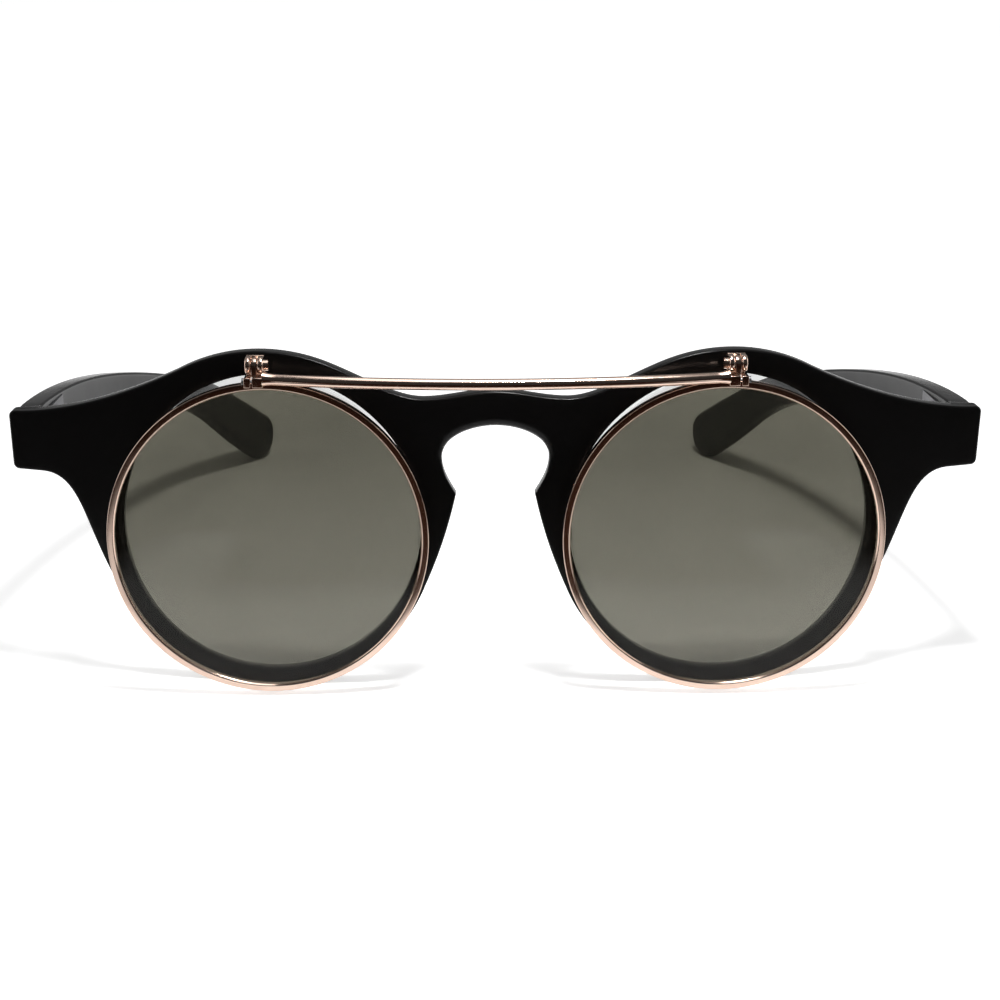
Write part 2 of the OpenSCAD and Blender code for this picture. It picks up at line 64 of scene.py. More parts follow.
# Lenses and flip-up
CLEAR_T = 1.8        # thickness of the clear lenses
TINT_T = 1.4         # thickness of the tinted lenses
LENS_CURVE = 130.0   # radius that all four lenses are curved to
FLIP_LESS = 0.3      # how much smaller the metal rims' radius is than the openings'
FLIP_W = 1.15        # metal rim, seen from the front
FLIP_D = 2.0         # metal rim, from front to back
FLIP_DROP = 1.1      # metal rims' centres below those of the openings
FLIP_IN = 0.6        # metal rims' centres nearer the nose than those of the openings
FLIP_LEAN = 1.2      # degrees that the top of the metal rims leans back
BAR_D = 1.7          # diameter of the bar
BAR_BOW = 2.1        # middle of the bar forward of its ends
BAR_SAG = 0.5        # middle of the bar below its ends

# Flip hinge
HINGE_OFF = 0.6      # hinge outside the middle of its opening
KNUCKLE_W = 2.7      # three knuckles together
KNUCKLE_D = 2.5      # diameter of the knuckles
PLATE_T = 1.1        # thickness of the brow plate
PLATE_H = 3.1        # height of the brow plate
PLATE_DROP = 0.4     # top of the brow plate below the top of the brow
BLOCK_H = 1.5        # height of the closing block
BLOCK_D = 2.8        # closing block, from front to back
BLOCK_RISE = 0.8     # closing block above the metal rim
BLOCK_LEAD = 2.1     # closing block in front of the pivot
RIM_CUT = 0.25       # cut that parts the metal rim and its block

# Temples, and the barrels of their hinges
TEMPLE_T = 3.4       # thickness
TEMPLE_R = 400.0     # radius of the curve round the head, seen from above
TEMPLE_SET = 0.9     # start of the temples inside the front's ends
TEMPLE_TOE = 0.3     # degrees that the temples turn in where they start
TEMPLE_RUN = 84.0    # length up to the ear bend
TEMPLE_SLOPE = 1.5   # downward slope where they start, in degrees
SIDE_R = 331.0       # radius of the gentle downward curve, seen from the side
EAR_SLOPE = 30.0     # downward slope behind the ear, in degrees
EAR_R = 92.0         # radius of the ear bend
TEMPLE_WAIST = 6.2   # height at the slimmest
TIP_H = 10.2         # height of the rounded tip
BARREL_D = 3.0       # diameter of the barrels
BARREL_H = 6.6       # three barrels together
LEAF_W = 4.6         # plate on the end piece

# Clearances
SIDE_GAP = 0.1       # between neighbouring knuckles
SEAT_GAP = 0.05      # lens in its groove, plate in its recess
JOINT_GAP = 0.3      # temple end to end piece
PART_GAP = 0.25      # moving knuckle to fixed plate, barrel to temple
PAD_GAP = 0.2        # edge left round the hinge pads

# Layout seen from the front
eye_x = EYE_R + BRIDGE_W / 2
eye_z = EYE_R + RIM_W
eye = (eye_x, eye_z)
rim_r = EYE_R + RIM_W
brow_r = EYE_R + BROW_H
brow_z = eye_z + brow_r
half_w = FRONT_W / 2
hump_z = brow_z - BRIDGE_DROP
key_z = hump_z - BRIDGE_H
end_z = brow_z - END_DROP
end_mid_z = end_z - END_H / 2
end_low = end_z - END_H


# Layout from front to back, with the tinted lenses' plane at y = 0
def front_y(x):
    return BRIDGE_GAP + FACE_R - math.sqrt(FACE_R**2 - x * x)


def inner_y(x):
    return BRIDGE_GAP + FACE_R - math.sqrt((FACE_R - FRONT_T)**2 - x * x)


back_y = front_y(half_w) + FRONT_T + END_EXTRA
lens_turn = math.asin(eye_x / FACE_R)
lens_y = (front_y(eye_x - EYE_R) + front_y(eye_x + EYE_R) + 2 * front_y(eye_x)) / 4 + FRONT_T / 2

# Flip-up and its hinge
flip_r = EYE_R - FLIP_LESS
flip_x = eye_x - FLIP_IN
flip_z = eye_z - FLIP_DROP
flip_out = flip_r + FLIP_W
lean = math.radians(FLIP_LEAN)
flip_top = flip_z + flip_out * math.cos(lean)
hinge_x = eye_x + HINGE_OFF
plate_in = hinge_x - KNUCKLE_W / 2
plate_out = hinge_x + KNUCKLE_W / 2
plate_top = brow_z - PLATE_DROP
plate_low = plate_top - PLATE_H
seat_y = front_y(plate_out) + SEAT_GAP
plate_y = seat_y - PLATE_T
pivot_y = plate_y - PART_GAP / 2 - KNUCKLE_D / 2
block_top = flip_top + BLOCK_RISE
block_low = block_top - BLOCK_H
pivot_z = block_top + PART_GAP + KNUCKLE_D / 2
block_y0 = pivot_y - BLOCK_LEAD
block_y1 = block_y0 + BLOCK_D
block_out = plate_out + SIDE_GAP
cut_x = hinge_x + RIM_CUT + SIDE_GAP
knuckle_t = (KNUCKLE_W - 2 * SIDE_GAP) / 3
bar_y = block_y0 + BLOCK_D / 3
bar_z = block_top - BAR_D / 5
bar_tilt = math.atan(BAR_SAG / BAR_BOW)
bar_arc = (plate_in**2 + BAR_BOW**2) / (2 * BAR_BOW)

# Temples, seen from above
temple_x = half_w - TEMPLE_SET
temple_y = back_y + JOINT_GAP
toe = math.radians(TEMPLE_TOE)
bow_x = temple_x - TEMPLE_R * math.cos(toe)
bow_y = temple_y - TEMPLE_R * math.sin(toe)
temple_in = temple_x - TEMPLE_T
axis_x = temple_in - PART_GAP - BARREL_D / 2


def moved(point, direction, distance=1.0):
    return (point[0] + direction[0] * distance, point[1] + direction[1] * distance)


# The temple's middle line, seen from the side: a gentle arc, the ear bend, and a straight end
def down(a):
    return (math.cos(a), -math.sin(a))


def below(a):
    return (-math.sin(a), -math.cos(a))


slope_0 = math.radians(TEMPLE_SLOPE)
slope_1 = slope_0 + TEMPLE_RUN / SIDE_R
slope_2 = math.radians(EAR_SLOPE)
bend_run = EAR_R * (slope_2 - slope_1)
side_c = moved((temple_y, end_mid_z), below(slope_0), SIDE_R)
bend_0 = moved(side_c, below(slope_1), -SIDE_R)
bend_c = moved(bend_0, below(slope_1), EAR_R)
bend_1 = moved(bend_c, below(slope_2), -EAR_R)
tip_r = TIP_H / 2
tip_run = (bend_1[1] - tip_r) / math.sin(slope_2)
tip_c = moved(bend_1, down(slope_2), tip_run)
run_total = TEMPLE_RUN + bend_run + tip_run

# The whole part is centred on the origin from front to back
front_most = bar_y - BAR_BOW - BAR_D / 2
mid_y = (front_most + tip_c[0] + tip_r) / 2


def row(x, y, z):
    """A point of the layout, in millimetres, as a vector in the frame, in metres."""
    return Vector((x * MM, (y - mid_y) * MM, z * MM))


def on_side(side):
    """Both sides are drawn for the left one, at +X, and side -1 mirrors them."""
    return lambda x, y, z: row(side * x, y, z)


# Points on arcs and curves
def arc(c, r, a0, a1, n):
    turns = [math.radians(a0 + (a1 - a0) * i / n) for i in range(n + 1)]
    return [(c[0] + r * math.cos(a), c[1] + r * math.sin(a)) for a in turns]


def cubic(a, b, c, d, n):
    out = []
    for i in range(n + 1):
        t = i / n
        s = 1 - t
        k = (s * s * s, 3 * s * s * t, 3 * s * t * t, t * t * t)
        out.append(tuple(k[0] * a[j] + k[1] * b[j] + k[2] * c[j] + k[3] * d[j] for j in (0, 1)))
    return out


def ease(a, b, t):
    return a + (b - a) * (3 * t * t - 2 * t * t * t)


def ramped(value, low, high):
    """0 up to low and 1 from high on, or the other way round where low is the larger."""
    return min(max((value - low) / (high - low), 0.0), 1.0)


def mirrored(loop):
    return [(-x, z) for x, z in loop[::-1]]


# Outlines
def no_twins(loop, least=0.05):
    """A loop without points that nearly touch the one before."""
    out = []
    for p in loop:
        if not out or math.dist(p, out[-1]) > least:
            out.append(p)
    if math.dist(out[0], out[-1]) < least:
        out.pop()
    return out


def clipped(loop, x0, z0, x1, z1):
    """The part of a loop that lies in a rectangle."""
    for axis, limit, sign in ((0, x0, 1), (0, x1, -1), (1, z0, 1), (1, z1, -1)):
        out = []
        for i in range(len(loop)):
            a, b = loop[i - 1], loop[i]
            da, db = sign * (a[axis] - limit), sign * (b[axis] - limit)
            if (da > 0) != (db > 0):
                out.append(moved(a, (b[0] - a[0], b[1] - a[1]), da / (da - db)))
            if db > 0:
                out.append(b)
        loop = out
    return no_twins(loop)


def inside(p, loop):
    hit = False
    for a, b in zip(loop, loop[-1:] + loop[:-1]):
        if (a[1] > p[1]) != (b[1] > p[1]):
            if p[0] < (b[0] - a[0]) * (p[1] - a[1]) / (b[1] - a[1]) + a[0]:
                hit = not hit
    return hit


def area(loop):
    return sum(loop[i - 1][0] * loop[i][1] - loop[i][0] * loop[i - 1][1] for i in range(len(loop))) / 2


def inset(loop, distances):
    """The loop moved to its left, by a distance at each point."""
    sharpest = 0.6  # keeps the corners of sharp turns from running off
    out = []
    n = len(loop)
    for i in range(n):
        a, b, c = loop[i - 1], loop[i], loop[(i + 1) % n]
        u = Vector((b[0] - a[0], b[1] - a[1])).normalized()
        v = Vector((c[0] - b[0], c[1] - b[1])).normalized()
        m = Vector((-u.y - v.y, u.x + v.x)) / max(1.0 + u.dot(v), sharpest)
        out.append((b[0] + m.x * distances[i], b[1] + m.y * distances[i]))
    return out


def bent(points, radius, steps=4):
    """A closed outline with its corners rounded."""
    most = 0.45  # share of an edge that a rounding may take
    out = []
    n = len(points)
    for i in range(n):
        a, b, c = (Vector(points[k % n]) for k in (i - 1, i, i + 1))
        u, v = (a - b), (c - b)
        r = min(radius, u.length * most, v.length * most)
        p, q = b + u.normalized() * r, b + v.normalized() * r
        for k in range(steps + 1):
            t = k / steps
            out.append(tuple(p * (1 - t)**2 + b * 2 * t * (1 - t) + q * t * t))
    return out


# Meshes
def make(name, bm, look, body, replaced, sharp=40.0):
    """Turns a bmesh into a piece that rides on a body."""
    bmesh.ops.remove_doubles(bm, verts=bm.verts, dist=1e-7)
    bmesh.ops.recalc_face_normals(bm, faces=bm.faces)
    for f in bm.faces:
        f.smooth = True
    limit = math.radians(sharp)
    for e in bm.edges:
        if len(e.link_faces) == 2 and e.calc_face_angle() > limit:
            e.smooth = False
    mesh = bpy.data.meshes.new(name)
    bm.to_mesh(mesh)
    bm.free()
    obj = bpy.data.objects.new(name, mesh)
    bpy.context.scene.collection.objects.link(obj)
    mesh.materials.append(look)
    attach(obj, body)
    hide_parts(*replaced)
    return obj


def join_rings(bm, a, b):
    n = len(a)
    for i in range(n):
        bm.faces.new((a[i], a[(i + 1) % n], b[(i + 1) % n], b[i]))


def rounded_edge(bm, loop, face, sign, radius, place, steps):
    """Rings of vertices from a loop's wall to a face, and the outline where the face starts."""
    size = [radius(*p) if callable(radius) else radius for p in loop]
    rings = []
    for k in range(steps + 1):
        turn = math.pi / 2 * k / steps
        outline = inset(loop, [r * (1 - math.cos(turn)) for r in size])
        deep = [sign * r * (1 - math.sin(turn)) for r in size]
        rings.append([bm.verts.new(place(*p, face(*p) + d)) for p, d in zip(outline, deep)])
    return rings, outline


def fill_face(bm, rims, face, place, grid):
    """Fills a face between its rims with triangles of an even size, which follow its curve."""
    margin = 0.55  # least distance of an inner point from the rims, in grid steps
    points, owners, edges = [], [], []
    for verts, outline in rims:
        base = len(points)
        points += [Vector(p) for p in outline]
        owners += verts
        edges += [(base + i, base + (i + 1) % len(outline)) for i in range(len(outline))]
    on_rims = kdtree.KDTree(len(points))
    for i, p in enumerate(points):
        on_rims.insert((p.x, p.y, 0), i)
    on_rims.balance()
    low = [min(p[k] for p in points) for k in (0, 1)]
    high = [max(p[k] for p in points) for k in (0, 1)]

    def solid(p):
        return inside(p, rims[0][1]) and not any(inside(p, outline) for verts, outline in rims[1:])

    for i in range(int((high[0] - low[0]) / grid) + 1):
        for j in range(int((high[1] - low[1]) / grid) + 1):
            p = (low[0] + (i + 0.5) * grid, low[1] + (j + 0.5 + 0.5 * (i % 2)) * grid)
            if solid(p) and on_rims.find((p[0], p[1], 0))[2] > margin * grid:
                points.append(Vector(p))
                owners.append(bm.verts.new(place(*p, face(*p))))
    made = delaunay_2d_cdt(points, edges, [], 1, 1e-6)
    corners, triangles, origins = made[0], made[2], made[3]
    for triangle in triangles:
        middle = sum((corners[i] for i in triangle), Vector((0, 0))) / 3
        if solid(middle) and all(origins[i] for i in triangle):
            bm.faces.new([owners[origins[i][0]] for i in triangle])


def slab(bm, outer, holes, near, far, round_near, round_far, place, grid, steps=5):
    """A plate with rounded edges: 2-D loops, and the depths of its near and far faces as functions."""
    loops = [outer if area(outer) > 0 else outer[::-1]]
    loops += [h if area(h) < 0 else h[::-1] for h in holes]
    near_rims, far_rims = [], []
    for loop in loops:
        near_rings, near_outline = rounded_edge(bm, loop, near, 1, round_near, place, steps)
        far_rings, far_outline = rounded_edge(bm, loop, far, -1, round_far, place, steps)
        near_rims.append((near_rings[-1], near_outline))
        far_rims.append((far_rings[-1], far_outline))
        stack = near_rings[::-1] + far_rings
        for a, b in zip(stack, stack[1:]):
            join_rings(bm, a, b)
    fill_face(bm, near_rims, near, place, grid)
    fill_face(bm, far_rims, far, place, grid)


def lathe(bm, profile, matrix, segments, closed=True):
    """A profile of (radius, height) turned about the local z axis."""
    turns = [2 * math.pi * i / segments for i in range(segments)]
    rings = []
    for r, h in profile:
        spokes = [(math.cos(a), math.sin(a)) for a in turns] if r > 1e-9 else [(0, 0)]
        rings.append([bm.verts.new(matrix @ Vector((r * c, r * s, h))) for c, s in spokes])
    pairs = list(zip(rings, rings[1:]))
    if closed:
        pairs.append((rings[-1], rings[0]))
    for a, b in pairs:
        for i in range(segments):
            j = (i + 1) % segments
            corners = dict.fromkeys((a[i % len(a)], a[j % len(a)], b[j % len(b)], b[i % len(b)]))
            if len(corners) > 2:
                bm.faces.new(tuple(corners))


def soft_box(bm, lo, hi, radius, place, steps=3):
    """A box whose edges and corners are rounded."""
    half = [(b - a) / 2 for a, b in zip(lo, hi)]
    mid = [(b + a) / 2 for a, b in zip(lo, hi)]
    radius = min(radius, *[h * 0.98 for h in half])  # a little of each face stays flat
    slopes = [math.tan(math.pi / 4 * (i / steps - 1)) for i in range(steps + 1)]
    marks = [(-1, t) for t in slopes] + [(1, -t) for t in slopes[::-1]]

    def corner(signs, tans):
        d = Vector(tans).normalized()
        point = [mid[k] + signs[k] * (half[k] - radius) + radius * d[k] for k in range(3)]
        return bm.verts.new(place(*point))

    for axis in range(3):
        for end in (-1, 1):
            grid = []
            for su, tu in marks:
                line = []
                for sv, tv in marks:
                    signs, tans = [0, 0, 0], [0, 0, 0]
                    signs[axis], tans[axis] = end, end
                    signs[(axis + 1) % 3], tans[(axis + 1) % 3] = su, tu
                    signs[(axis + 2) % 3], tans[(axis + 2) % 3] = sv, tv
                    line.append(corner(signs, tans))
                grid.append(line)
            for i in range(len(grid) - 1):
                for j in range(len(grid) - 1):
                    bm.faces.new((grid[i][j], grid[i + 1][j], grid[i + 1][j + 1], grid[i][j + 1]))


# Shader trees
def add(tree, kind, sockets=None, **settings):
    n = tree.nodes.new(kind)
    for k, v in settings.items():
        setattr(n, k, v)
    for k, v in (sockets or {}).items():
        n.inputs[k].default_value = v
    return n


def calc(tree, operation, a, b):
    n = add(tree, "ShaderNodeMath", operation=operation)
    for k, v in enumerate((a, b)):
        if isinstance(v, (int, float)):
            n.inputs[k].default_value = v
        else:
            tree.links.new(v, n.inputs[k])
    return n.outputs[0]


def ramp(tree, value, low, high, to_low, to_high):
    """A value's range from low to high, turned into the range from to_low to to_high."""
    n = add(tree, "ShaderNodeMapRange", {1: low, 2: high, 3: to_low, 4: to_high})
    tree.links.new(value, n.inputs[0])
    return n.outputs[0]


def mixed(tree, factor, first, second):
    """A colour between two others."""
    n = add(tree, "ShaderNodeMix", {6: (*first, 1), 7: (*second, 1)}, data_type="RGBA")
    tree.links.new(factor, n.inputs[0])
    return n.outputs[2]


def object_point(tree):
    return add(tree, "ShaderNodeTexCoord").outputs["Object"]


def noise(tree, scale, detail, rough=0.5):
    n = add(tree, "ShaderNodeTexNoise", {"Scale": scale, "Detail": detail, "Roughness": rough})
    tree.links.new(object_point(tree), n.inputs["Vector"])
    return n.outputs[0]


def bump(tree, shader, value, strength, distance):
    n = add(tree, "ShaderNodeBump", {"Strength": strength, "Distance": distance})
    tree.links.new(value, n.inputs["Height"])
    tree.links.new(n.outputs[0], shader.inputs["Normal"])


def new_material(name, sockets):
    """A material with a Principled shader, and constant values on its sockets."""
    m = bpy.data.materials.new(name)
    m.use_nodes = True
    tree = m.node_tree
    tree.nodes.clear()
    shader = add(tree, "ShaderNodeBsdfPrincipled", sockets)
    tree.links.new(shader.outputs[0], add(tree, "ShaderNodeOutputMaterial").inputs[0])
    return m, tree, shader


# Materials
def acetate(name, colour, dust, rough):
    """Polished black plastic with a soft coat, a fine haze and a few specks of dust."""
    speck_size = (0.018, 0.03)
    speck_where = (0.55, 0.58)
    m, tree, shader = new_material(name, {
        "Specular IOR Level": 0.05, "IOR": 1.48,
        "Coat Weight": 1.0, "Coat Roughness": 0.22, "Coat IOR": 1.2})
    cloud = noise(tree, 60.0, 3.0)
    haze = noise(tree, 900.0, 5.0, 0.6)
    tree.links.new(ramp(tree, cloud, 0.35, 0.65, *rough), shader.inputs["Roughness"])
    cells = add(tree, "ShaderNodeTexVoronoi", {"Scale": 210.0})
    tree.links.new(object_point(tree), cells.inputs["Vector"])
    middle = ramp(tree, cells.outputs["Distance"], *speck_size, 1.0, 0.0)
    specks = calc(tree, "MULTIPLY", middle, ramp(tree, cloud, *speck_where, 0.0, 1.0))
    tree.links.new(mixed(tree, specks, colour, dust), shader.inputs["Base Color"])
    bump(tree, shader, haze, 0.06, 0.00003)
    return m


def metal(name, colour, dark, rough):
    """Metal with slow changes of colour and polish, and a fine grain."""
    m, tree, shader = new_material(name, {"Metallic": 1.0})
    grain = noise(tree, 1500.0, 4.0, 0.6)
    wear = noise(tree, 160.0, 3.0)
    tree.links.new(ramp(tree, wear, 0.3, 0.7, rough * 0.8, rough * 1.3), shader.inputs["Roughness"])
    tarnish = ramp(tree, wear, 0.35, 0.75, 0.0, 0.35)
    tree.links.new(mixed(tree, tarnish, colour, dark), shader.inputs["Base Color"])
    bump(tree, shader, grain, 0.05, 0.00002)
    return m


def glass(name, top, low, z_top, z_low):
    """Glass whose tint runs from one height to another."""
    m, tree, shader = new_material(name, {"Transmission Weight": 1.0, "IOR": 1.3, "Roughness": 0.0})
    split = add(tree, "ShaderNodeSeparateXYZ")
    tree.links.new(object_point(tree), split.inputs[0])
    height = ramp(tree, split.outputs[2], z_low, z_top, 0.0, 1.0)
    tree.links.new(mixed(tree, height, low, top), shader.inputs["Base Color"])
    return m


black = acetate("black_acetate", (0.0036, 0.0034, 0.0035), (0.35, 0.35, 0.36), (0.36, 0.46))
gold = metal("rose_gold", (0.89, 0.68, 0.57), (0.66, 0.43, 0.32), 0.14)
steel = metal("steel", (0.2, 0.2, 0.21), (0.12, 0.12, 0.12), 0.36)
clear = glass("clear_lens", (0.97, 0.98, 0.975), (0.97, 0.98, 0.975), 0.045, 0.005)
tinted = glass("tinted_lens", (0.18, 0.173, 0.135), (0.198, 0.19, 0.158), 0.046, 0.006)

# Top edge of the front: raised bridge, dip, brow, and shoulder down to the end piece
BROW_A0 = 112            # where the brow's arc starts and ends, in degrees
BROW_A1 = 62
SHOULDER_POWER = 1.75    # how hollow the shoulder is
dip = (eye_x * 0.31, hump_z - BRIDGE_DIP)
a0, a1 = math.radians(BROW_A0), math.radians(BROW_A1)
brow_start = moved(eye, (math.cos(a0), math.sin(a0)), brow_r)
brow_end = moved(eye, (math.cos(a1), math.sin(a1)), brow_r)
end_top = (half_w - END_CORNER, end_z)
hump = [(dip[0] * i / 12, ease(hump_z, dip[1], i / 12)) for i in range(13)]
rise_end = moved(brow_start, (math.sin(a0), -math.cos(a0)), -0.2 * brow_r)
rise = cubic(dip, (dip[0] * 1.37, dip[1]), rise_end, brow_start, 16)
brow = arc(eye, brow_r, BROW_A0, BROW_A1, 24)
shoulders = [(brow_end[0] + (end_top[0] - brow_end[0]) * i / 24,
              end_z + (brow_end[1] - end_z) * (1 - i / 24)**SHOULDER_POWER) for i in range(25)]

# End piece, and the curve from its lower edge into the rim
JOIN_A = -35             # where the lower rim starts, in degrees
end_edge = arc((half_w - END_CORNER, end_z - END_CORNER), END_CORNER, 90, 0, 6)
end_edge += arc((half_w - END_TAPER - END_CORNER, end_low + END_CORNER), END_CORNER, 0, -90, 6)
ja = math.radians(JOIN_A)
join = moved(eye, (math.cos(ja), math.sin(ja)), rim_r)
heel = (half_w - END_H * 0.52, end_low - END_H * 0.016)
join_start = moved(join, (-math.sin(ja), math.cos(ja)), rim_r * 0.52)
under = cubic(heel, moved(heel, (0.76, 0.043), -END_H), join_start, join, 24)

# Nose side: the rim, a bulging flank up to the neck, and the keyhole
FLANK_TURN = 4           # degrees that the rim stops short of a straight flank's touching point
neck = (NECK_W / 2, key_z - KEY_H)
to_neck = (neck[0] - eye_x, neck[1] - eye_z)
touch_a = math.atan2(to_neck[1], to_neck[0]) + math.acos(rim_r / math.hypot(*to_neck))
flank_a = math.degrees(touch_a) + FLANK_TURN
lower_rim = arc(eye, rim_r, JOIN_A, flank_a - 360, 80)
flank_0 = lower_rim[-1]
flank_mid = ((flank_0[0] + neck[0]) / 2 - FLANK_BULGE, (flank_0[1] + neck[1]) / 2)
flank = cubic(flank_0, tuple(flank_0[k] + (flank_mid[k] - flank_0[k]) * 0.7 for k in (0, 1)),
              tuple(flank_mid[k] + (neck[k] - flank_mid[k]) * 0.3 for k in (0, 1)), neck, 12)
wide = (KEY_W / 2, key_z - KEY_H * 0.46)
keyhole = cubic(neck, moved(neck, (0.087, 0.154), KEY_H), (wide[0], wide[1] - KEY_H * 0.23), wide, 12)
keyhole += cubic(wide, (wide[0], wide[1] + KEY_H * 0.27), (KEY_W / 4, key_z), (0, key_z), 16)
half_front = no_twins(hump + rise + brow + shoulders + end_edge + under + lower_rim + flank + keyhole)

# What the photograph shows beyond round openings and even edges
OPEN_LESS = 1.4                 # opening smaller on the outer side
OPEN_TURN = math.radians(14)    # where it is smallest, above the level
OPEN_MORE = 0.45                # opening larger at its top on the nose side
FRONT_SOFT = 0.35               # rounding of the front's edges
BACK_SOFT = 0.4                 # rounding of its inner edges
KEY_SOFT = 1.2                  # extra rounding around the keyhole's arch
BRIDGE_SOFT = 0.15              # extra rounding on the bridge
BRIDGE_UP = 1.0                 # edges this far over the keyhole's top belong to the bridge
ARCH_X = (11.0, 7.0)            # the extra rounding starts and is whole here
ARCH_Z = (0.75 * KEY_H, 3.0)    # its lower end below the keyhole's top, and its run


def opening(side, steps=160):
    """The edge of a lens opening: smaller on the outer side, and larger at the nose's top."""
    out = []
    for i in range(steps):
        a = 2 * math.pi * i / steps
        x, z = math.cos(a) * side, math.sin(a)
        outward = max(0.0, x * math.cos(OPEN_TURN) + z * math.sin(OPEN_TURN))
        inward = max(0.0, (z - x) * math.sqrt(0.5))
        r = EYE_R - OPEN_LESS * outward**2 + OPEN_MORE * inward**2
        out.append((side * eye_x + r * math.cos(a), eye_z + r * math.sin(a)))
    return out


def front_soft(x, z):
    """The rounding of the front's edges: softer around the keyhole's arch and on the bridge."""
    near = ramped(abs(x), *ARCH_X)
    if z >= key_z + BRIDGE_UP:
        return FRONT_SOFT + BRIDGE_SOFT * near**2
    low = key_z - ARCH_Z[0]
    return FRONT_SOFT + KEY_SOFT * (near * ramped(z, low, low + ARCH_Z[1]))**2


def build_front():
    """A curved plate, with a flat boss and a hinge pad behind each end."""
    grid = 1.3
    sunk = 1.2         # start of the bosses and pads inside the plate
    sunk_soft = 0.1
    boss_soft = 0.3
    past = 1           # how far the clipping runs past the end piece
    bm = bmesh.new()
    slab(bm, no_twins(mirrored(half_front) + half_front), [opening(-1), opening(1)],
         lambda x, z: front_y(x), lambda x, z: inner_y(x), front_soft, BACK_SOFT,
         lambda x, z, y: row(x, y, z), grid)
    whole = half_front + mirrored(half_front)
    boss = clipped(whole, temple_in - PAD_GAP, end_low - past, half_w, end_z + past)
    pad_x0, pad_x1 = axis_x - LEAF_W - PAD_GAP, temple_x - PAD_GAP
    pad_z0, pad_z1 = (end_mid_z + s * (BARREL_H / 2 + PAD_GAP) for s in (-1, 1))
    pad = [(pad_x0, pad_z0), (pad_x1, pad_z0), (pad_x1, pad_z1), (pad_x0, pad_z1)]
    for side in (-1, 1):
        put = on_side(side)
        for loop in (boss, pad):
            slab(bm, loop, [], lambda x, z: front_y(x) + sunk, lambda x, z: back_y, sunk_soft, boss_soft,
                 lambda x, z, y: put(x, y, z), grid)
    make("acetate_front", bm, black, "front", ["front_frame"])


def eye_matrix(side):
    turn = Matrix.Rotation(side * lens_turn, 4, "Z") @ Matrix.Rotation(math.pi / 2, 4, "X")
    return Matrix.Translation(row(side * eye_x, lens_y, eye_z)) @ turn @ Matrix.Scale(MM, 4)


def flip_matrix(side):
    turn = Matrix.Rotation(math.pi / 2 - lean, 4, "X")
    return Matrix.Translation(row(side * flip_x, 0, flip_z)) @ turn @ Matrix.Scale(MM, 4)


def lens_profile(r, thick, rows=14):
    """Two curved faces, joined by an edge a little outside the seat's radius."""
    sink = math.sqrt(LENS_CURVE**2 - r * r)
    reach = r + 0.1
    faces = []
    for sign in (1, -1):
        curve = LENS_CURVE + sign * thick / 2
        radii = [reach * i / rows for i in range(rows + 1)]
        faces.append([(p, math.sqrt(curve**2 - p * p) - sink) for p in radii])
    return faces[0] + faces[1][::-1]


def build_lenses(side, name):
    """Clear and tinted glass, which let the lamps' light through to the floor."""
    bm = bmesh.new()
    lathe(bm, lens_profile(EYE_R - SEAT_GAP, CLEAR_T), eye_matrix(side), 128, closed=False)
    inner = make(f"clear_glass_{name}", bm, clear, "front", [f"clear_lens_{name}"])
    bm = bmesh.new()
    lathe(bm, lens_profile(flip_r - SEAT_GAP, TINT_T), flip_matrix(side), 128, closed=False)
    outer = make(f"tinted_glass_{name}", bm, tinted, "flip_up", [f"tinted_lens_{name}"])
    inner.visible_shadow = outer.visible_shadow = False


def build_metal_rim(side, name):
    """A thin ring with flat sides, and the two halves of its closing block."""
    half_d = FLIP_D / 2
    front = [(flip_r, -0.75), (flip_r + 0.2, -half_d), (flip_out - 0.2, -half_d), (flip_out, -0.8)]
    back = [(flip_out, 0.9), (flip_out - 0.1, half_d), (flip_r + 0.26, half_d), (flip_r, 0.74)]
    bm = bmesh.new()
    lathe(bm, bent(front + back, 0.07), flip_matrix(side), 256)
    for x0, x1 in ((plate_in, cut_x - RIM_CUT / 2), (cut_x + RIM_CUT / 2, block_out)):
        soft_box(bm, (x0, block_y0, block_low), (x1, block_y1, block_top), 0.14, on_side(side))
    make(f"metal_rim_{name}", bm, gold, "flip_up", [f"flip_rim_{name}"], sharp=50)


def knuckle(bm, side, x0, d, soft):
    """A short cylinder along x with soft edges."""
    axis = Matrix.Translation(row(side * x0, pivot_y, pivot_z)) @ Matrix.Rotation(side * math.pi / 2, 4, "Y")
    profile = [(0, 0), (d / 2 - soft, 0)]
    for i in range(1, 5):
        t = math.pi / 8 * i
        profile.append((d / 2 - soft + soft * math.sin(t), soft - soft * math.cos(t)))
    profile += [(r, knuckle_t - h) for r, h in profile[::-1]]
    lathe(bm, profile, axis @ Matrix.Scale(MM, 4), 64, closed=False)


def build_flip_hinge(side, name):
    """The brow plate with its two knuckles, and the knuckle on the closing block between them."""
    soft = 0.12
    slim = 0.3  # how much smaller the middle knuckle's diameter is
    put = on_side(side)
    bm = bmesh.new()
    soft_box(bm, (plate_in, plate_y, plate_low), (plate_out, seat_y, plate_top), soft, put)
    for x0 in (plate_in, plate_out - knuckle_t):
        knuckle(bm, side, x0, KNUCKLE_D, 0.3)
        soft_box(bm, (x0, pivot_y, pivot_z - KNUCKLE_D * 0.3),
                 (x0 + knuckle_t, plate_y + 0.3, pivot_z + KNUCKLE_D * 0.45), soft, put)
    make(f"brow_plate_{name}", bm, gold, "front", [f"brow_hinge_plate_{name}"], sharp=50)
    bm = bmesh.new()
    x0 = hinge_x - knuckle_t / 2
    knuckle(bm, side, x0, KNUCKLE_D - slim, 0.1)
    soft_box(bm, (x0, pivot_y - KNUCKLE_D / 2 + slim / 2, block_top - 0.1),
             (x0 + knuckle_t, pivot_y + KNUCKLE_D * 0.3, pivot_z), soft, put)
    make(f"rim_knuckle_{name}", bm, gold, "flip_up", [f"flip_hinge_leaf_{name}"], sharp=50)


